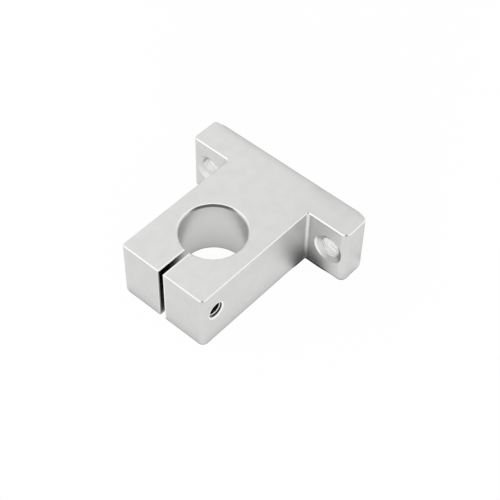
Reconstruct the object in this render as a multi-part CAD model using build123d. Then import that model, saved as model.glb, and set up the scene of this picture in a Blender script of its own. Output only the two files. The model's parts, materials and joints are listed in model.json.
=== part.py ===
"""Shaft support block: a T-shaped clamp for a 16 mm round shaft, with its clamp screw.

The block stands on its base. +X runs along the base, +Y along the shaft and +Z up,
and the origin is the middle of the base's mounting face.
"""
from build123d import *
from math import radians, tan
import os

# Block
base_width = 48.0           # along X, over both mounting flanges
block_length = 16.0         # along Y, the length of shaft that the block grips
total_height = 44.0         # along Z
flange_thickness = 8.0
clamp_width = 25.0          # of the upright part that holds the shaft
face_edge_break = 0.2       # on the outline of both sawn faces

# Corners of the extruded outline
flange_round_tapped_side = 1.6
flange_round_head_side = 0.9
clamp_round_tapped_side = 1.2
clamp_round_head_side = 0.6
root_fillet = 0.6           # where a flange meets the upright

# Shaft bore and the slit that lets it close
shaft_diameter = 16.0
shaft_clearance = 0.02      # on the diameter
shaft_height = 27.0         # of the bore's axis over the base
bore_chamfer = 0.6
slit_width = 1.2
slit_offset = 0.3           # the cut stands a little towards the screw head's side
slit_edge_break = 0.2       # where the cut opens on the faces

# Mounting holes, one in each flange
mounting_hole_edge_distance = 5.0   # from a hole's axis to the end of its flange
mounting_hole_diameter = 5.5
mounting_mouth_diameter = 8.1
mounting_mouth_angle = 118.0    # the mouth is cut with the point of a larger drill
base_mouth_chamfer = 0.25       # where the holes leave the base

# Clamp screw across the slit, an M4 socket head cap screw with its head at +X
screw_diameter = 4.0
screw_length = 16.0         # under the head
screw_offset = -1.2         # of the screw's axis from the middle of the block's length
head_diameter = 7.0
head_height = 4.0
head_chamfer = 0.35
socket_across_flats = 3.0
socket_depth = 2.0
socket_point_angle = 120.0
tip_chamfer = 0.5

# Holes for the clamp screw
head_recess_diameter = 7.4
head_sink = 0.5             # from the block's side down to the top of the head
screw_hole_clearance = 0.5  # on the diameter, in the side that the screw pulls on
thread_gap = 0.05           # between the screw and its tapped hole, all round
tapped_mouth_chamfer = 0.25

half_length = block_length / 2
clamp_side = clamp_width / 2
hole_x = base_width / 2 - mounting_hole_edge_distance
bore_radius = (shaft_diameter + shaft_clearance) / 2
screw_height = (shaft_height + bore_radius + total_height) / 2  # half way up the slit
head_seat = clamp_side - head_sink - head_height
cut_margin = 1.0            # how far a cutting body runs past the face it opens


def corner(sketch, x, z):
    """The one vertex of the outline at this place."""
    return sketch.vertices().sort_by_distance(Vector(x, 0, z))[0]


def block_outline():
    """The T-shaped section in the XZ plane, with its rounded corners."""
    upright_height = total_height - flange_thickness
    flange = Pos(0, flange_thickness / 2) * Rectangle(base_width, flange_thickness)
    upright = Pos(0, flange_thickness + upright_height / 2) * Rectangle(clamp_width, upright_height)
    outline = Plane.XZ * (flange + upright)
    rounds = (
        (-base_width / 2, 0, flange_round_tapped_side),
        (-base_width / 2, flange_thickness, flange_round_tapped_side),
        (base_width / 2, 0, flange_round_head_side),
        (base_width / 2, flange_thickness, flange_round_head_side),
        (-clamp_side, total_height, clamp_round_tapped_side),
        (clamp_side, total_height, clamp_round_head_side),
        (-clamp_side, flange_thickness, root_fillet),
        (clamp_side, flange_thickness, root_fillet),
    )
    for x, z, radius in rounds:
        outline = fillet(corner(outline, x, z), radius)
    return outline


def cylinder_between(start, end, radius):
    """A cylinder whose axis runs from one point to the other."""
    axis = Vector(*end) - Vector(*start)
    return extrude(Plane(origin=start, z_dir=axis) * Circle(radius), amount=axis.length)


def cone_between(start, end, start_radius, end_radius):
    """A cone cut square at both points."""
    axis = Vector(*end) - Vector(*start)
    base = Plane(origin=start, z_dir=axis) * Circle(start_radius)
    top = Plane(origin=end, z_dir=axis) * Circle(end_radius)
    return loft([base, top])


def mouth_chamfer(face_point, inward, radius, size):
    """A 45 degree cone that breaks the edge of a hole at the face that it opens on."""
    outside = Vector(*face_point) - Vector(*inward) * cut_margin
    inside = Vector(*face_point) + Vector(*inward) * size
    return cone_between(tuple(outside), tuple(inside), radius + size + cut_margin, radius)


def slit_mouth(start, inward, length):
    """The 45 degree breaks of the slit's two edges on the face that it opens on."""
    across = Vector(1, 0, 0)
    depth = slit_edge_break + cut_margin
    plane = Plane(origin=start, x_dir=across, z_dir=across.cross(Vector(*inward)))
    return extrude(plane * Pos(0, depth / 2) * Trapezoid(slit_width + 2 * depth, depth, 45), amount=length)


def slit():
    """The cut from the bore to the top, with its edges broken on both sawn faces and on the top."""
    end = half_length + cut_margin
    top = total_height + cut_margin
    height = top - shaft_height
    cut = Pos(slit_offset, 0, shaft_height + height / 2) * Box(slit_width, 2 * end, height)
    cut += slit_mouth((slit_offset, -end, shaft_height), (0, 1, 0), height)
    cut += slit_mouth((slit_offset, end, top), (0, -1, 0), height)
    return cut + slit_mouth((slit_offset, -end, top), (0, 0, -1), 2 * end)


def shaft_bore():
    """The bore along Y with a chamfer at each face."""
    end = half_length + cut_margin
    bore = cylinder_between((0, -end, shaft_height), (0, end, shaft_height), bore_radius)
    for side in (-1, 1):
        bore += mouth_chamfer((0, side * half_length, shaft_height), (0, -side, 0), bore_radius, bore_chamfer)
    return bore


def mounting_hole(x):
    """A through hole in one flange, opened at its top by the point of a larger drill."""
    radius = mounting_hole_diameter / 2
    mouth_radius = mounting_mouth_diameter / 2
    slope = tan(radians(mounting_mouth_angle / 2))
    mouth_depth = (mouth_radius - radius) / slope
    hole = cylinder_between((x, 0, -cut_margin), (x, 0, flange_thickness + cut_margin), radius)
    hole += cone_between(
        (x, 0, flange_thickness + cut_margin), (x, 0, flange_thickness - mouth_depth),
        mouth_radius + cut_margin * slope, radius,
    )
    return hole + mouth_chamfer((x, 0, 0), (0, 0, 1), radius, base_mouth_chamfer)


def on_screw_axis(x):
    """The point of the clamp screw's axis at this X."""
    return (x, screw_offset, screw_height)


def screw_holes():
    """The head's recess, the clearance hole behind it and the tapped hole past the slit."""
    outside = clamp_side + cut_margin
    recess = cylinder_between(on_screw_axis(head_seat), on_screw_axis(outside), head_recess_diameter / 2)
    clearance = cylinder_between(
        on_screw_axis(slit_offset), on_screw_axis(outside), (screw_diameter + screw_hole_clearance) / 2
    )
    tapped_radius = screw_diameter / 2 + thread_gap
    tapped = cylinder_between(on_screw_axis(-outside), on_screw_axis(slit_offset), tapped_radius)
    mouth = mouth_chamfer(on_screw_axis(-clamp_side), (1, 0, 0), tapped_radius, tapped_mouth_chamfer)
    return recess + clearance + tapped + mouth


def support_block():
    """The block: the outline extruded along the shaft, with its edges broken and its holes cut."""
    block = extrude(block_outline(), amount=half_length, both=True)
    ends = block.faces().filter_by(Axis.Y)
    block = chamfer(ends.edges(), face_edge_break)
    block -= shaft_bore() + slit()
    for x in (-hole_x, hole_x):
        block -= mounting_hole(x)
    return block - screw_holes()


def clamp_screw():
    """The socket head cap screw, seated in its recess with its point towards -X."""
    head = cylinder_between(on_screw_axis(head_seat), on_screw_axis(head_seat + head_height), head_diameter / 2)
    head = chamfer(head.edges().sort_by(Axis.X)[-1], head_chamfer)
    shank = cylinder_between(on_screw_axis(head_seat - screw_length), on_screw_axis(head_seat), screw_diameter / 2)
    shank = chamfer(shank.edges().sort_by(Axis.X)[0], tip_chamfer)

    head_top = head_seat + head_height
    socket_floor = head_top - socket_depth
    socket_plane = Plane(origin=on_screw_axis(socket_floor), x_dir=(0, 0, 1), z_dir=(1, 0, 0))
    hexagon = socket_plane * RegularPolygon(socket_across_flats / 2, 6, major_radius=False)
    socket = extrude(hexagon, amount=socket_depth + cut_margin)
    point_radius = socket_across_flats / 2
    point_depth = point_radius / tan(radians(socket_point_angle / 2))
    point = Plane(origin=on_screw_axis(socket_floor), z_dir=(-1, 0, 0)) * Pos(0, 0, point_depth / 2) * Cone(
        point_radius, 0, point_depth
    )
    return head + shank - socket - point


def main():
    os.makedirs("parts", exist_ok=True)
    for name, piece in (("support_block", support_block()), ("clamp_screw", clamp_screw())):
        export_step(piece, f"parts/{name}.step")


main()
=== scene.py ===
"""Looks of the shaft support block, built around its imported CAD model.

The block stands on Z = 0 in the part's frame, in metres. +X runs along its base towards the clamp
screw's head, and +Y runs along the shaft bore. The places and sizes below are in millimetres unless
they say otherwise.
"""
import bpy
import json
import math
from mathutils import Matrix, Vector
from types import SimpleNamespace


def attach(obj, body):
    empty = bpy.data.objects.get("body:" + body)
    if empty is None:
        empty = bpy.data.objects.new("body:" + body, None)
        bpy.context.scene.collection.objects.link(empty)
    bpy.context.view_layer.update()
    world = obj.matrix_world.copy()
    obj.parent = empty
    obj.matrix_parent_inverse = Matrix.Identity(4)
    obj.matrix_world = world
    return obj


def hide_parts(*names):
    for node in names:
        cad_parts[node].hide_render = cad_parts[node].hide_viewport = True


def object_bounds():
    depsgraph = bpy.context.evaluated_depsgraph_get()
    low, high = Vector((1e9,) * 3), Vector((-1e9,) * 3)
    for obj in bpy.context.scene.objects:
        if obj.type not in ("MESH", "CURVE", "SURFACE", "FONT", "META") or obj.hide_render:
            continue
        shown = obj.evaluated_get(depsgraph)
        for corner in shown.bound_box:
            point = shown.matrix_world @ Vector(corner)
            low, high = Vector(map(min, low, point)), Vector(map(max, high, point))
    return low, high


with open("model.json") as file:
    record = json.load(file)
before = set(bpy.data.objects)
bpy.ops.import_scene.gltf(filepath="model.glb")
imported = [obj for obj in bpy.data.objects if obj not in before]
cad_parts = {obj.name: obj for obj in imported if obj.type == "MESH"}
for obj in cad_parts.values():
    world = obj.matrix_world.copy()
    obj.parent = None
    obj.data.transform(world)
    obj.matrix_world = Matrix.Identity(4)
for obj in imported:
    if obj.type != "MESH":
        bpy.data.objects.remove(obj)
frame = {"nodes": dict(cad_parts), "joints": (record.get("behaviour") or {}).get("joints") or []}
cad_low, cad_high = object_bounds()

MM = 0.001
BLOCK = frame["nodes"]["support_block"]
SCREW_JOINT = frame["joints"][0]

# Places on the block that the materials and the threads follow
HALF_LENGTH = cad_high[1] / MM
FLANGE_END = cad_high[0] / MM
FLANGE_THICKNESS = 8.0
TOTAL_HEIGHT = 44.0
CLAMP_SIDE = 12.5           # of the upright, from the middle
CORNER_ROUND = 1.4          # between those of the outline's outer corners
ROOT_FILLET = 0.6
FACE_BREAK = 0.2            # the edge break round both sawn faces
SHAFT_HEIGHT = 27.0
BORE_RADIUS = 8.01
BORE_CHAMFER = 0.6
BORE_TOP = SHAFT_HEIGHT + BORE_RADIUS
SLIT_OFFSET = 0.3
SLIT_WIDTH = 1.2
SLIT_SURROUND = 1.4         # from the middle, past both of the slit's edge breaks
SLIT_HIGHLIGHT_ENDS = (1.15, 0.97)     # of the painted highlight along the slit, from its middle, on the tapped side and on the head's side
TAPPED_HIGHLIGHT_WIDTH = 0.4             # of the painted highlight round the tapped hole
LOW_SIDE = (0.68, 0.73)     # direction of the bore's low side, along +X and down
CHAMFER_WIDTHS = (0.22, 0.42)   # of the painted shade on the bore's chamfer from its wall, the second on the low side
HOLE_X = 19.0
HOLE_RADIUS = 2.75
MOUTH_RADIUS = 4.05
MOUTH_NORMAL = 0.857        # how far the mouth's 118 degree cone faces up
DIAGONAL = 0.7              # how far a 45 degree edge break faces either way

# Clamp screw, M4 with a 0.7 mm thread
SCREW_Y, SCREW_Z = (value / MM for value in SCREW_JOINT["pos_m"][1:])
HEAD_SEAT = SCREW_JOINT["pos_m"][0] / MM
SCREW_LENGTH = 16.0
SCREW_TIP = HEAD_SEAT - SCREW_LENGTH
TIP_CHAMFER = 0.5
THREAD_PITCH = 0.7
THREAD_CREST = 2.0
THREAD_ROOT = 1.57
THREAD_END = 0.2            # from the seat, as are the two ends of the runout
RUNOUT = (1.0, 0.4)
RUNOUT_HEIGHT = 0.9         # of the thread's depth
ROOT_FLAT, CREST_FLAT = 0.2, 0.13   # of half a pitch

# The head's foot from the seat up, and its shoulder from the top down, as places and how far inside
# the head's radius they are. The socket's sides as depths and scales, its point as depths and radii
HEAD_RADIUS = 3.5
HEAD_HEIGHT = 4.0
HEAD_FOOT = ((0.0, 0.45), (0.12, 0.2))
HEAD_SHOULDER = ((0.45, 0.16), (0.2, 0.24), (0.05, 0.43), (0.0, 0.6))
KNURL_START, KNURL_END = 0.45, 0.75
KNURL_DEPTH = 0.13
SOCKET_APOTHEM = 1.5
SOCKET_DEPTH = 2.0
SOCKET_SIDES = ((0.0, 1.1), (0.14, 1.0), (SOCKET_DEPTH, 1.0))
SOCKET_POINT = ((SOCKET_DEPTH + 0.02, 1.45), (SOCKET_DEPTH + 0.8, 0.08))

# Thread in the tapped hole
TAPPED_RADIUS = 2.05        # of the CAD model's plain hole
TAPPED_ROOT = 2.04
TAPPED_CREST = 1.68
TAPPED_MOUTH = 0.25         # the hole's chamfer, where the thread starts
PAST_TIP = 0.05             # how far the thread goes on past the screw's tip
BURIED = 0.05               # how far its back stands inside the block's metal

AROUND = 96                 # points round the screw
ROWS_PER_PITCH = 12
SHARP_ANGLE = 28            # degrees between two faces, from which their edge is sharp

# Noise in the metals: scale in a millimetre, and detail
GRAIN = (5.0, 3.0)
CLOUD = (0.35, 1.0)
DRILL_NOISE = (1.0, 2.0)
DRILL_STRETCH = (0.35, 0.35, 2.2)
OXIDE_GRAIN = (9.0, 3.0)
OXIDE_PATCHES = (1.2, 2.0)

# Tones of the metals, 0 for black and 1 for white. Two tones are the ends of a ramp
HIGHLIGHT_TONE = 0.97             # painted highlight on edges, rims and thread crests, over the bright bare metal of a broken edge
BLASTED_TONES = (0.675, 0.735)
CLOUD_TONES = (-0.012, 0.012)   # added to the blasted ones
SAWN_GAIN = 1.06            # of the sawn faces over the extruded ones
# Painted shade in the block's crevices, from the most closed in to the open
CREVICE_SHADE_GAINS = (0.25, 1.0)
BORE_SHADE_TONES = (0.71, 0.51)   # painted shade on the bore's wall, darker from the front face to the back
# Painted shade on the bore's wall next to both ends, on the low side
BORE_RIM_SHADE_TONE = 0.2
BORE_CHAMFER_SHADE_TONES = (0.6, 0.15)    # painted shade on the inner part of the bore's chamfer, the second on the low side
SLIT_PAINTED_TONES = (0.85, 0.04)   # painted light just above the bore to painted shade further up
# Painted light in the slit next to the back face
SLIT_BACK_LIGHT_TONE = 0.5
# Painted highlight on the faces along the slit
SLIT_HIGHLIGHT_TONE = 0.95
DRILLED_TONES = (0.84, 1.0)
MOUTH_TONE = 0.7            # on the tapped side
MOUTH_LIGHT_TONES = (0.68, 0.9)   # painted light on the head's side, from its front half to its back half
TURNED_SHADE_TONE = 0.5           # painted shade on edge breaks that face down or towards the head
CORNER_SHADE_TONE = 0.3           # painted shade on edge breaks that face up and towards the tapped side
# Painted highlight on the fillet in both roots
ROOT_HIGHLIGHT_TONE = 0.84
ROOT_BREAK_SHADOW_TONE = 0.25      # painted contact shadow on the roots' edge breaks on the back face
THREAD_PAINTED_TONES = (HIGHLIGHT_TONE, 0.1)  # painted highlight on its crest to painted shade in its root
# Painted shade deep in the tapped hole
DEEP_THREAD_SHADE_GAIN = 0.04
OXIDE_TONES = (0.035, 0.065)
WORN_TONE = 0.2
ALUMINIUM_TINT = (1.0, 1.0, 0.99)
OXIDE_TINT = (1.0, 1.0, 1.03)

# Roughness of the metals, with two values as above
BLASTED_ROUGHNESS = (0.37, 0.49)
BORE_ROUGHNESS = 0.3
DRILLED_ROUGHNESS = 0.25
MOUTH_ROUGHNESS = 0.32
EDGE_ROUGHNESS = (0.6, 0.3)     # the first on the edges that face the tapped side
BORE_CHAMFER_ROUGHNESS = 0.6
OXIDE_ROUGHNESS = (0.3, 0.46)

# Stage: a floor, and behind the block the ground that it lies on in the photograph
STAGE_GAP = 0.05            # from the block to either of them
STAGE_SIZE = 6.0            # metres
STAGE_GREY = (0.85, 0.85, 0.85, 1.0)
WHITE = (1.0, 1.0, 1.0)
OPAQUE_WHITE = (*WHITE, 1.0)
WHITE_SHARE = 0.97          # near the block, where the rest shows its shadow
SHADOW_END = (30.0, 70.0)   # from the middle of the base
# How far the painted shade reaches, in the block's crevices and on the stage next to it
CONTACT_REACH = 4.0
# Painted shade on the stage next to the block, from the most closed in to the open
CONTACT_SHADE_TONES = (0.5, 1.0)
CORNER_SHADOW_REACH = (6.8, 4.6)   # of the painted shadow in the backdrop's corners, to the side and up
# Darkest tone of the painted shadow in the backdrop's corners
CORNER_SHADOW_DARK = 0.08
SHADOW_LINE_WIDTHS = (0.12, 0.4)   # of the painted shadow line along the outline, the second in the corners
SHADOW_LINE_DARKS = (0.6, 1.0)     # how dark it is, likewise
# How dark the painted shadow line is on the floor
FLOOR_SHADOW_LINE_DARK = 0.5
TOUCHING = 0.4              # rays shorter than this pass the stage

# Light: world strength, and lamps by direction, distance and size in metres, and watts
WORLD_STRENGTH = 0.7
LAMP_AIM = (0.0, 0.0, 0.022)    # metres
LAMPS = (
    ("key", (0.5, -0.7, 0.6), 0.6, 1.2, 0.5),
    ("front", (0.2, -0.95, 0.2), 0.35, 0.7, 0.55),
    ("top", (0.2, -0.1, 1.0), 0.6, 1.2, 0.6),
    ("right", (-0.87, -0.47, 0.1), 0.6, 1.2, 0.9),
    ("right_back", (-0.9, 0.4, 0.2), 0.6, 1.2, 0.5),
)

# Camera, with its angles in degrees
CAMERA_AZIMUTH, CAMERA_ELEVATION, CAMERA_ROLL = -28.523, 29.130, -130.478
CAMERA_AIM = (-5.001, 1.254, 19.692)
CAMERA_DISTANCE = 295.83
CAMERA_LENS, CAMERA_SENSOR = 90.33, 36.0
CAMERA_CLIP = (0.01, 10.0)      # metres


# Materials

class Nodes:
    """A material's node tree, with short calls for the sums that make its masks.

    A value is a socket or a plain number. A mask is 1 on what it names and 0 elsewhere.
    """

    def __init__(self, tree):
        self.tree = tree
        self.tree.nodes.clear()

    def feed(self, entry, value):
        """Gives an input its value, or links it to a socket."""
        if isinstance(value, bpy.types.NodeSocket):
            self.tree.links.new(value, entry)
        else:
            entry.default_value = value

    def add(self, kind, **values):
        """A node with these settings. A name that isn't a setting is one of its inputs."""
        node = self.tree.nodes.new(kind)
        for key, value in values.items():
            if hasattr(node, key):
                setattr(node, key, value)
            else:
                self.feed(node.inputs[key.replace("_", " ")], value)
        return node

    def math(self, operation, *values):
        """One sum of values."""
        node = self.add("ShaderNodeMath", operation=operation)
        for entry, value in zip(node.inputs, values):
            self.feed(entry, value)
        return node.outputs[0]

    def minus(self, first, second):
        return self.math("SUBTRACT", first, second)

    def larger(self, first, second):
        """The larger value, or what lies in either of two masks."""
        return self.math("MAXIMUM", first, second)

    def times(self, first, *others):
        """The product, or what lies in all of the masks."""
        for other in others:
            first = self.math("MULTIPLY", first, other)
        return first

    def size(self, value):
        """The value without its sign."""
        return self.math("ABSOLUTE", value)

    def over(self, value, limit):
        return self.math("GREATER_THAN", value, limit)

    def under(self, value, limit):
        return self.math("LESS_THAN", value, limit)

    def near(self, value, middle, reach):
        """1 where the value is this close to the middle."""
        return self.math("COMPARE", value, middle, reach)

    def ramp(self, value, low, high, start=0.0, end=1.0):
        """Start where the value is low, end where it is high, and a smooth step between."""
        node = self.add(
            "ShaderNodeMapRange", interpolation_type="SMOOTHSTEP",
            Value=value, From_Min=low, From_Max=high, To_Min=start, To_Max=end,
        )
        return node.outputs["Result"]

    def within(self, value, limit, soft):
        """1 up to the limit, and a soft step down after it."""
        return self.ramp(value, limit, limit + soft, 1.0, 0.0)

    def past(self, value, limit, soft):
        """1 from the limit on, and a soft step up before it."""
        return self.ramp(value, limit - soft, limit)

    def blend(self, share, first, second):
        """The first value where the share is 0, the second where it is 1."""
        node = self.add("ShaderNodeMix", data_type="FLOAT", Factor=share, A=first, B=second)
        return node.outputs["Result"]

    def distance(self, first, second):
        """How far from an axis, from the two distances across it."""
        squares = self.math("ADD", self.times(first, first), self.times(second, second))
        return self.math("SQRT", squares)

    def outside_box(self, beside, above, round_off):
        """How far outside a rectangle a point is, from its distances past two of its sides."""
        out = [self.larger(self.math("ADD", past, round_off), 0.0) for past in (beside, above)]
        return self.minus(self.distance(*out), round_off)

    def noise(self, place, scale, detail):
        node = self.add("ShaderNodeTexNoise", Scale=scale, Detail=detail, Vector=place)
        return node.outputs["Fac"]

    def millimetres(self, place):
        """A place in metres as one in millimetres, and its X, Y and Z."""
        scaled = self.add("ShaderNodeVectorMath", operation="SCALE", Vector=place, Scale=1.0 / MM)
        split = self.add("ShaderNodeSeparateXYZ", Vector=scaled.outputs[0])
        return (scaled.outputs[0], *split.outputs)

    def tint(self, brightness, colour):
        """A brightness times a colour."""
        scaled = self.add(
            "ShaderNodeVectorMath", operation="SCALE", Vector=colour, Scale=brightness
        )
        return scaled.outputs[0]

    def mix(self, share, first, second):
        """A shader like the first where the share is 0, and like the second where it is 1."""
        node = self.add("ShaderNodeMixShader")
        for entry, value in zip(node.inputs, (share, first.outputs[0], second.outputs[0])):
            self.feed(entry, value)
        return node

    def metal(self, colour, rough, height, strength, depth):
        """The material's surface: bare metal, with bumps of this strength and depth."""
        bump = self.add("ShaderNodeBump", Strength=strength, Distance=depth * MM, Height=height)
        shader = self.add(
            "ShaderNodeBsdfPrincipled", Metallic=1.0,
            Base_Color=colour, Roughness=rough, Normal=bump.outputs[0],
        )
        self.add("ShaderNodeOutputMaterial", Surface=shader.outputs[0])


def new_material(name):
    material = bpy.data.materials.new(name)
    material.use_nodes = True
    return material, Nodes(material.node_tree)


def block_place(nodes):
    """Where a point of the block is, which way it faces, and how far off each hole's axis is."""
    place, x, y, z = nodes.millimetres(nodes.add("ShaderNodeTexCoord").outputs["Object"])
    geometry = nodes.add("ShaderNodeNewGeometry")
    normal = nodes.add("ShaderNodeSeparateXYZ", Vector=geometry.outputs["True Normal"])
    side = nodes.size(x)
    over_shaft = nodes.minus(z, SHAFT_HEIGHT)
    return SimpleNamespace(
        place=place, x=x, y=y, z=z, side=side, end=nodes.size(y), over_shaft=over_shaft,
        normal_x=normal.outputs[0], normal_y=normal.outputs[1], normal_z=normal.outputs[2],
        from_shaft=nodes.distance(x, over_shaft),
        from_hole=nodes.distance(nodes.minus(side, HOLE_X), y),
        from_screw=nodes.distance(nodes.minus(y, SCREW_Y), nodes.minus(z, SCREW_Z)),
    )


def block_masks(nodes, at):
    """Masks of the places on the block that have a look of their own, most of them painted light or
    shade.
    """
    # The broken edges of the two sawn faces and the bore's chamfers are cut at 45 degrees
    sloped = nodes.near(nodes.size(at.normal_y), DIAGONAL, 0.25)
    edge = nodes.times(sloped, nodes.past(at.end, HALF_LENGTH - BORE_CHAMFER, soft=0.03))
    leaning = nodes.near(nodes.size(at.normal_x), DIAGONAL, 0.1)
    near_top = nodes.past(at.z, TOTAL_HEIGHT - FACE_BREAK, soft=0.03)
    beside_slit = nodes.within(at.side, SLIT_SURROUND, soft=0.1)
    edge = nodes.larger(edge, nodes.times(leaning, near_top, beside_slit))
    sawn = nodes.ramp(nodes.size(at.normal_y), 0.98, 0.99)

    # The bore's low side is the one towards the base and the screw's head, where its rim gets
    # painted shade and its chamfer the darkest painted shade
    bore = nodes.within(at.from_shaft, BORE_RADIUS + 0.02, soft=0.03)
    across, down = LOW_SIDE
    lower = nodes.minus(nodes.times(at.x, across), nodes.times(at.over_shaft, down))
    low_side = nodes.ramp(lower, BORE_RADIUS * 0.66, BORE_RADIUS * 0.95)
    rim = nodes.times(bore, nodes.past(at.end, HALF_LENGTH - BORE_CHAMFER, soft=0.3), low_side)
    from_wall = nodes.minus(at.from_shaft, BORE_RADIUS)
    inner = nodes.under(from_wall, nodes.blend(low_side, *CHAMFER_WIDTHS))

    # The painted highlight along the slit is a little wider on the tapped side
    across_slit = nodes.size(nodes.minus(at.x, SLIT_OFFSET))
    in_slit = nodes.within(across_slit, SLIT_WIDTH / 2 + 0.01, soft=0.02)
    above_bore = nodes.past(at.z, BORE_TOP, soft=0.5)
    highlight_end = nodes.ramp(at.x, SLIT_OFFSET - 0.1, SLIT_OFFSET + 0.1, *SLIT_HIGHLIGHT_ENDS)

    mouth = nodes.times(
        nodes.within(at.from_hole, MOUTH_RADIUS, soft=0.04),
        nodes.over(at.z, FLANGE_THICKNESS - 1.0),
        nodes.near(at.normal_z, MOUTH_NORMAL, 0.03),
    )
    in_tapped = nodes.within(at.from_screw, TAPPED_RADIUS - 0.004, soft=0.002)
    # A painted highlight round the tapped hole, on the clamp's side face
    round_tapped = nodes.within(at.from_screw, TAPPED_RADIUS + TAPPED_HIGHLIGHT_WIDTH, soft=0.08)

    # The fillet in both roots, with a painted highlight, and its edge break on the back face, with
    # a painted contact shadow
    half_fillet = ROOT_FILLET / 2
    root = nodes.times(
        nodes.near(at.side, CLAMP_SIDE + half_fillet, half_fillet + 0.01),
        nodes.near(at.z, FLANGE_THICKNESS + half_fillet, half_fillet + 0.01),
    )
    root_break = nodes.times(
        nodes.near(at.side, CLAMP_SIDE + FACE_BREAK, ROOT_FILLET - 0.15),
        nodes.near(at.z, FLANGE_THICKNESS + FACE_BREAK, ROOT_FILLET - 0.15),
        nodes.over(at.y, 0.0),
    )
    return SimpleNamespace(
        edge=edge, sawn=sawn, bore=bore, low_side=low_side, bore_rim_shade=rim,
        inner_chamfer_shade=nodes.times(edge, inner),
        slit=nodes.times(in_slit, above_bore),
        slit_highlight=nodes.times(nodes.under(across_slit, highlight_end), above_bore),
        hole=nodes.within(at.from_hole, HOLE_RADIUS + 0.02, soft=0.04),
        mouth=mouth,
        tapped=nodes.times(in_tapped, nodes.under(at.x, 0.0)),
        tapped_highlight=nodes.times(round_tapped, nodes.under(at.x, -CLAMP_SIDE + 0.24)),
        root=root, root_break=root_break,
    )


def slit_light_and_shade(nodes, at):
    """The slit's inside: painted light just above the bore and at the back face, and painted shade
    elsewhere.
    """
    from_front = nodes.math("ADD", at.y, HALF_LENGTH)
    height = nodes.minus(at.z, nodes.times(from_front, 0.25))
    tone = nodes.ramp(height, BORE_TOP, BORE_TOP + 5.5, *SLIT_PAINTED_TONES)
    back = nodes.ramp(at.y, HALF_LENGTH - 2.0, HALF_LENGTH, SLIT_PAINTED_TONES[1], SLIT_BACK_LIGHT_TONE)
    return nodes.larger(tone, back)


def mouth_painted_light(nodes, at):
    """The mounting holes' cones, with painted light on the back half of the one on the head's side,
    and a painted highlight on a rim on one side of the one by the tapped hole.
    """
    rim = nodes.times(
        nodes.ramp(at.from_hole, MOUTH_RADIUS - 0.6, MOUTH_RADIUS - 0.2),
        nodes.ramp(at.x, -1.0, 1.0, 1.0, 0.0),
        nodes.ramp(at.normal_x, -0.35, -0.1, 1.0, 0.0),
    )
    head_side = nodes.ramp(at.y, 0.0, 3.0, *MOUTH_LIGHT_TONES)
    tone = nodes.blend(nodes.ramp(at.x, -1.0, 1.0), MOUTH_TONE, head_side)
    return nodes.blend(rim, tone, HIGHLIGHT_TONE)


def edge_light_and_shade(nodes, at, on):
    """The edge breaks: a painted highlight, but painted shade on those turned off, on rounded
    corners and in the roots.
    """
    away = nodes.ramp(nodes.minus(at.normal_z, at.normal_x), -0.7, -0.4, 1.0, 0.0)
    outer = nodes.larger(nodes.over(at.side, CLAMP_SIDE - 0.3), nodes.under(at.z, 0.3))
    tone = nodes.blend(nodes.times(away, outer), HIGHLIGHT_TONE, TURNED_SHADE_TONE)
    on_corner = nodes.math("MINIMUM", nodes.times(at.normal_x, -1.0), at.normal_z)
    off_bore = nodes.ramp(at.from_shaft, 9.0, 9.5)
    corner = nodes.blend(off_bore, HIGHLIGHT_TONE, CORNER_SHADE_TONE)
    tone = nodes.blend(nodes.ramp(on_corner, 0.3, 0.42), tone, corner)
    return nodes.blend(on.root_break, tone, ROOT_BREAK_SHADOW_TONE)


def thread_painted_light(nodes, at):
    """The tapped hole's thread: painted highlights on its crests at its mouth, and painted shade in
    its roots and further in.
    """
    tone = nodes.ramp(at.from_screw, TAPPED_CREST + 0.1, TAPPED_CREST + 0.22, *THREAD_PAINTED_TONES)
    lit = nodes.ramp(at.x, -CLAMP_SIDE + 1.05, -CLAMP_SIDE + 1.3, 1.0, DEEP_THREAD_SHADE_GAIN)
    return nodes.times(tone, lit)


def aluminium_tone(nodes, at, on, grain, drill_marks):
    """How bright the block's metal is: its blasted faces with painted shade in the crevices, and
    then each place over them.
    """
    # Painted shade: darker where the block's own faces close round, but not in the mounting holes
    closeness = nodes.add(
        "ShaderNodeAmbientOcclusion", Distance=CONTACT_REACH * MM, samples=8, only_local=True
    )
    crevice_shade = nodes.ramp(closeness.outputs["AO"], 0.0, 0.85, *CREVICE_SHADE_GAINS)
    tone = nodes.ramp(grain, 0.25, 0.75, *BLASTED_TONES)
    cloud = nodes.noise(at.place, *CLOUD)
    tone = nodes.math("ADD", tone, nodes.ramp(cloud, 0.3, 0.7, *CLOUD_TONES))
    tone = nodes.times(tone, nodes.blend(on.sawn, 1.0, SAWN_GAIN))
    # Painted shade: the bore's wall grows darker from the front face to the back
    bore_shade = nodes.ramp(at.y, -HALF_LENGTH + 0.5, HALF_LENGTH - 1.0, *BORE_SHADE_TONES)
    tone = nodes.blend(on.bore, tone, bore_shade)
    tone = nodes.times(tone, nodes.blend(on.hole, crevice_shade, 1.0))
    layers = (
        (on.hole, nodes.ramp(drill_marks, 0.4, 0.55, *DRILLED_TONES)),
        (on.mouth, mouth_painted_light(nodes, at)),
        (on.slit_highlight, SLIT_HIGHLIGHT_TONE),
        (on.tapped_highlight, HIGHLIGHT_TONE),
        (on.root, ROOT_HIGHLIGHT_TONE),
        (on.edge, edge_light_and_shade(nodes, at, on)),
        (on.inner_chamfer_shade, nodes.blend(on.low_side, *BORE_CHAMFER_SHADE_TONES)),
        (on.bore_rim_shade, BORE_RIM_SHADE_TONE),
        (on.slit, slit_light_and_shade(nodes, at)),
        (on.tapped, thread_painted_light(nodes, at)),
    )
    for mask, layer in layers:
        tone = nodes.blend(mask, tone, layer)
    return tone


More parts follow.
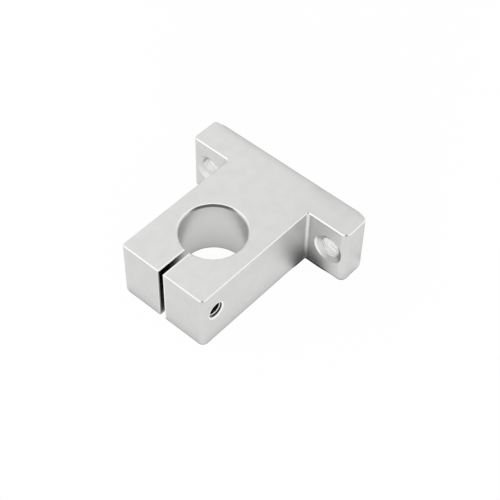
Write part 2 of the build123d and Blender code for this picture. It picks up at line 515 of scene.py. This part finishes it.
def aluminium_roughness(nodes, at, on, grain):
    rough = nodes.ramp(grain, 0.2, 0.8, *BLASTED_ROUGHNESS)
    by_bore = nodes.within(at.from_shaft, 8.7, soft=0.3)
    layers = (
        (on.bore, BORE_ROUGHNESS),
        (on.hole, DRILLED_ROUGHNESS),
        (on.mouth, MOUTH_ROUGHNESS),
        (on.edge, nodes.ramp(at.normal_x, -0.6, -0.3, *EDGE_ROUGHNESS)),
        (nodes.times(on.edge, by_bore), BORE_CHAMFER_ROUGHNESS),
    )
    for mask, layer in layers:
        rough = nodes.blend(mask, rough, layer)
    return rough


def aluminium():
    """Blasted and clear anodised aluminium, with broken edges and machined holes."""
    material, nodes = new_material("blasted_anodised_aluminium")
    at = block_place(nodes)
    on = block_masks(nodes, at)
    grain = nodes.noise(at.place, *GRAIN)

    # The drill leaves rings round the mounting holes, and the cutter finer ones round the bore
    flattened = nodes.add("ShaderNodeVectorMath", operation="MULTIPLY", Vector=at.place)
    flattened.inputs[1].default_value = DRILL_STRETCH
    drill_marks = nodes.times(nodes.noise(flattened.outputs[0], *DRILL_NOISE), on.hole)
    lathe = nodes.add(
        "ShaderNodeTexWave", bands_direction="Y",
        Scale=1.6, Distortion=0.6, Detail=1.0, Vector=at.place,
    )
    bore_marks = nodes.times(lathe.outputs["Fac"], on.bore)

    tone = aluminium_tone(nodes, at, on, grain, drill_marks)
    rough = aluminium_roughness(nodes, at, on, grain)
    height = nodes.math("ADD", grain, nodes.times(drill_marks, 0.6))
    height = nodes.math("ADD", height, nodes.times(bore_marks, 0.2))
    nodes.metal(nodes.tint(tone, ALUMINIUM_TINT), rough, height, strength=0.35, depth=0.012)
    return material


def black_steel():
    """Black oxide on steel, a little worn on the knurl's crests and oily elsewhere."""
    material, nodes = new_material("black_oxide_steel")
    place, _, y, z = nodes.millimetres(nodes.add("ShaderNodeTexCoord").outputs["Object"])
    grain = nodes.noise(place, *OXIDE_GRAIN)
    patches = nodes.noise(place, *OXIDE_PATCHES)
    radius = nodes.distance(nodes.minus(y, SCREW_Y), nodes.minus(z, SCREW_Z))
    worn = nodes.times(nodes.past(radius, HEAD_RADIUS, soft=0.06), nodes.ramp(patches, 0.4, 0.6))
    tone = nodes.blend(worn, nodes.ramp(grain, 0.3, 0.7, *OXIDE_TONES), WORN_TONE)
    rough = nodes.ramp(patches, 0.3, 0.7, *OXIDE_ROUGHNESS)
    nodes.metal(nodes.tint(tone, OXIDE_TINT), rough, grain, strength=0.25, depth=0.01)
    return material


def shadow_line(nodes, off_block, width, darkest):
    """White, but for a painted shadow line of this width just off the block's outline."""
    line = nodes.ramp(nodes.math("DIVIDE", off_block, width), 0.4, 1.0, 1.0, 0.0)
    line = nodes.times(line, nodes.ramp(off_block, -0.7, -0.5))
    return nodes.minus(1.0, nodes.times(line, darkest))


def backdrop_painted_shadows(nodes, at):
    """What the backdrop shows the camera and the metal, and how much of its white the metal sees.

    It has painted shadows in the corners between the upright and the flanges and along the block's
    outline, and painted shade next to the block away from the floor.
    """
    beside = nodes.minus(at.side, CLAMP_SIDE)
    above = nodes.minus(at.z, FLANGE_THICKNESS)
    reach = nodes.distance(*(
        nodes.math("DIVIDE", past, end) for past, end in zip((beside, above), CORNER_SHADOW_REACH)
    ))
    corner = nodes.math("EXPONENT", nodes.times(nodes.math("POWER", reach, 3.0), -1.0))
    by_floor = nodes.ramp(at.z, 1.0, 4.0, 1.0, 0.0)
    mirrored = nodes.times(
        nodes.ramp(corner, 0.0, 1.0, 1.0, CORNER_SHADOW_DARK), nodes.blend(by_floor, at.contact, 1.0)
    )

    half_flange = FLANGE_THICKNESS / 2
    past_top = nodes.minus(at.z, TOTAL_HEIGHT)
    past_flange = nodes.minus(nodes.size(nodes.minus(at.z, half_flange)), half_flange)
    off_block = nodes.math(
        "MINIMUM",
        nodes.outside_box(beside, past_top, CORNER_ROUND),
        nodes.outside_box(at.past_end, past_flange, CORNER_ROUND),
    )
    in_slit = nodes.near(at.x, SLIT_OFFSET, SLIT_WIDTH / 2 + FACE_BREAK)
    darkest = nodes.blend(in_slit, nodes.ramp(corner, 0.1, 0.6, *SHADOW_LINE_DARKS), 0.0)
    darkest = nodes.times(darkest, nodes.ramp(at.z, 0.7, 2.5))
    seen = shadow_line(nodes, off_block, nodes.ramp(corner, 0.1, 0.9, *SHADOW_LINE_WIDTHS), darkest)
    return seen, mirrored, WHITE_SHARE


def floor_painted_shadows(nodes, at):
    """The same for the floor, with a painted shadow line that stops short of the base's two ends,
    painted shade next to the block, and all white to the metal under the base.
    """
    past_face = nodes.minus(nodes.size(at.y), HALF_LENGTH)
    off_block = nodes.outside_box(at.past_end, past_face, 0.1)
    outside = nodes.past(off_block, 0.0, soft=0.1)
    darkest = nodes.ramp(at.past_end, -3.0, -1.5, FLOOR_SHADOW_LINE_DARK, 0.0)
    seen = shadow_line(nodes, off_block, SHADOW_LINE_WIDTHS[0], darkest)
    return seen, nodes.blend(outside, 1.0, at.contact), nodes.blend(outside, 1.0, WHITE_SHARE)


def stage_material(name, painted_shadows):
    """White to the camera with a little of the block's shadow, and unseen from behind.

    The stage stands a hair off the block, and light passes it there, so that the face of the block
    next to it looks right too. The painted shadows are what it shows along the block.
    """
    material, nodes = new_material(name)
    rays = nodes.add("ShaderNodeLightPath").outputs
    geometry = nodes.add("ShaderNodeNewGeometry").outputs
    _, x, y, z = nodes.millimetres(geometry["Position"])
    side = nodes.size(x)
    near = nodes.add("ShaderNodeAmbientOcclusion", Distance=CONTACT_REACH * MM, samples=6)
    seen, mirrored, mirror_share = painted_shadows(nodes, SimpleNamespace(
        x=x, y=y, z=z, side=side, past_end=nodes.minus(side, FLANGE_END),
        contact=nodes.ramp(near.outputs["AO"], 0.0, 1.0, *CONTACT_SHADE_TONES),
    ))

    camera = rays["Is Camera Ray"]
    mirror = nodes.larger(rays["Is Glossy Ray"], rays["Is Transmission Ray"])
    far_off = nodes.ramp(nodes.distance(side, z), *SHADOW_END)
    share = nodes.larger(
        nodes.times(camera, nodes.blend(far_off, WHITE_SHARE, 1.0)),
        nodes.times(mirror, mirror_share),
    )
    tone = nodes.blend(camera, mirrored, seen)
    white = nodes.add("ShaderNodeEmission", Strength=1.0, Color=nodes.tint(tone, WHITE))
    surface = nodes.mix(share, nodes.add("ShaderNodeBsdfDiffuse", Color=STAGE_GREY), white)
    touching = nodes.under(rays["Ray Length"], TOUCHING * MM)
    unseen = nodes.larger(geometry["Backfacing"], touching)
    surface = nodes.mix(unseen, surface, nodes.add("ShaderNodeBsdfTransparent"))
    nodes.add("ShaderNodeOutputMaterial", Surface=surface.outputs[0])
    return material


# Clamp screw and tapped thread

def ring(x, radius):
    """The points of a ring round the screw's axis. The radius is a number or goes by the angle."""
    points = []
    for step in range(AROUND):
        angle = 2 * math.pi * step / AROUND
        reach = radius(angle) if callable(radius) else radius
        y = SCREW_Y + reach * math.cos(angle)
        z = SCREW_Z + reach * math.sin(angle)
        points.append(Vector((x, y, z)) * MM)
    return points


def ring_body(name, rings, closed):
    """A closed mesh through the rings: joined end to start, or with a point at each end."""
    points = [point for one in rings for point in one]
    count = len(rings)
    faces = []
    for row in range(count if closed else count - 1):
        lower, upper = row * AROUND, (row + 1) % count * AROUND
        for step in range(AROUND):
            after = (step + 1) % AROUND
            faces.append((lower + step, lower + after, upper + after, upper + step))
    if not closed:
        for row in (0, count - 1):
            points.append(sum(rings[row], Vector()) / AROUND)
            for step in range(AROUND):
                edge = (row * AROUND + step, row * AROUND + (step + 1) % AROUND)
                faces.append((len(points) - 1, *(reversed(edge) if row == 0 else edge)))
    mesh = bpy.data.meshes.new(name)
    mesh.from_pydata(points, [], faces)
    mesh.shade_smooth()
    mesh.set_sharp_from_angle(angle=math.radians(SHARP_ANGLE))
    mesh.validate()
    piece = bpy.data.objects.new(name, mesh)
    bpy.context.scene.collection.objects.link(piece)
    return piece


def fade(value, start, end):
    """0 at the start and 1 at the end, in a straight line."""
    return min(max((value - start) / (end - start), 0.0), 1.0)


def thread_form(x, angle):
    """0 at the root and 1 at the crest of a right-hand V thread, with its flats."""
    turn = (x / THREAD_PITCH - angle / (2 * math.pi)) % 1.0
    return fade(abs(2 * turn - 1), ROOT_FLAT, 1 - CREST_FLAT)


def thread_rows(start, end):
    """Evenly spaced places along a thread, from start to end."""
    count = round((end - start) / THREAD_PITCH * ROWS_PER_PITCH)
    return [start + (end - start) * row / count for row in range(count + 1)]


def screw_radius(x):
    """The screw's radius by angle at this place, with the thread's runout and the tip's chamfer."""
    depth = THREAD_CREST - THREAD_ROOT
    runout = fade(x, *(HEAD_SEAT - place for place in RUNOUT))

    def radius(angle):
        height = thread_form(x, angle)
        threaded = THREAD_ROOT + depth * (height + (RUNOUT_HEIGHT - height) * runout)
        return min(threaded, THREAD_CREST - TIP_CHAMFER + (x - SCREW_TIP))
    return radius


def tapped_radius(x):
    """The tapped thread's radius by angle at this place, with its countersunk mouth."""
    depth = TAPPED_ROOT - TAPPED_CREST
    countersink = TAPPED_RADIUS - (x + CLAMP_SIDE - TAPPED_MOUTH)

    def radius(angle):
        return max(TAPPED_CREST + depth * thread_form(x, angle), countersink)
    return radius


def hexagon(scale):
    """The socket's radius by angle."""
    def radius(angle):
        return scale * SOCKET_APOTHEM / math.cos(angle % (math.pi / 3) - math.pi / 6)
    return radius


def knurl(angle):
    """The head's radius at this angle, with a fine straight knurl."""
    step = round(angle * AROUND / (2 * math.pi))
    return HEAD_RADIUS - KNURL_DEPTH * (step % 2)


def clamp_screw():
    """The M4 socket head cap screw: knurled head, hexagon socket, thread and chamfered tip."""
    top = HEAD_SEAT + HEAD_HEIGHT
    rings = [ring(x, screw_radius(x)) for x in thread_rows(SCREW_TIP, HEAD_SEAT - THREAD_END)]
    rings.append(ring(HEAD_SEAT, THREAD_CREST))
    rings += [ring(HEAD_SEAT + rise, HEAD_RADIUS - inset) for rise, inset in HEAD_FOOT]
    rings += [ring(HEAD_SEAT + KNURL_START, knurl), ring(top - KNURL_END, knurl)]
    rings += [ring(top - drop, HEAD_RADIUS - inset) for drop, inset in HEAD_SHOULDER]
    rings += [ring(top - drop, hexagon(scale)) for drop, scale in SOCKET_SIDES]
    rings += [ring(top - drop, radius) for drop, radius in SOCKET_POINT]
    piece = ring_body("clamp_screw_detail", rings, closed=False)
    piece.data.materials.append(black_steel())
    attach(piece, "screw")
    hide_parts("clamp_screw")


def tapped_thread(material):
    """The thread that shows in the tapped hole, from its mouth down to the screw's tip."""
    mouth = TAPPED_MOUTH - CLAMP_SIDE
    inside = SCREW_TIP - PAST_TIP
    back = TAPPED_RADIUS + BURIED
    rings = [ring(x, tapped_radius(x)) for x in thread_rows(mouth, inside)]
    rings += [ring(inside, back), ring(mouth, back)]
    piece = ring_body("tapped_thread", rings, closed=True)
    piece.data.flip_normals()
    piece.data.materials.append(material)
    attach(piece, "block")


# Studio

def add_plane(name, place, facing, painted_shadows):
    bpy.ops.mesh.primitive_plane_add(size=STAGE_SIZE, location=place)
    plane = bpy.context.object
    plane.name = name
    plane.rotation_mode = "QUATERNION"
    plane.rotation_quaternion = Vector(facing).to_track_quat("Z", "Y")
    plane.data.materials.append(stage_material(name, painted_shadows))


def add_lamp(name, direction, distance, size, power):
    """A square soft lamp that faces the block from this direction."""
    light = bpy.data.lights.new(name, "AREA")
    light.energy = power
    light.size = size
    lamp = bpy.data.objects.new(name, light)
    bpy.context.scene.collection.objects.link(lamp)
    towards = Vector(direction).normalized()
    lamp.location = Vector(LAMP_AIM) + towards * distance
    lamp.rotation_mode = "QUATERNION"
    lamp.rotation_quaternion = towards.to_track_quat("Z", "Y")


def add_world():
    """An even studio, white to the camera."""
    world = bpy.data.worlds.new("studio")
    bpy.context.scene.world = world
    world.use_nodes = True
    nodes = Nodes(world.node_tree)
    light = nodes.add("ShaderNodeBackground", Color=OPAQUE_WHITE, Strength=WORLD_STRENGTH)
    white = nodes.add("ShaderNodeBackground", Color=OPAQUE_WHITE, Strength=1.0)
    camera = nodes.add("ShaderNodeLightPath").outputs["Is Camera Ray"]
    nodes.add("ShaderNodeOutputWorld", Surface=nodes.mix(camera, light, white).outputs[0])


def add_camera():
    """The photograph's view: from the left front and above, rolled so that the block lies down."""
    azimuth, elevation = math.radians(CAMERA_AZIMUTH), math.radians(CAMERA_ELEVATION)
    back = Vector((
        math.sin(azimuth) * math.cos(elevation),
        -math.cos(azimuth) * math.cos(elevation),
        math.sin(elevation),
    ))
    data = bpy.data.cameras.new("camera")
    data.sensor_width = CAMERA_SENSOR
    data.lens = CAMERA_LENS
    data.clip_start, data.clip_end = CAMERA_CLIP
    camera = bpy.data.objects.new("camera", data)
    bpy.context.scene.collection.objects.link(camera)
    place = Matrix.Translation((Vector(CAMERA_AIM) + back * CAMERA_DISTANCE) * MM)
    level = (-back).to_track_quat("-Z", "Y").to_matrix().to_4x4()
    camera.matrix_world = place @ level @ Matrix.Rotation(math.radians(CAMERA_ROLL), 4, "Z")
    bpy.context.scene.camera = camera


def build():
    bpy.context.scene.view_settings.view_transform = "Standard"
    add_camera()
    add_plane("floor", (0, 0, -STAGE_GAP * MM), (0, 0, 1), floor_painted_shadows)
    add_plane("backdrop", (0, (HALF_LENGTH + STAGE_GAP) * MM, 0), (0, -1, 0), backdrop_painted_shadows)
    add_world()
    for lamp in LAMPS:
        add_lamp(*lamp)
    metal = aluminium()
    BLOCK.data.materials[0] = metal
    clamp_screw()
    tapped_thread(metal)


build()
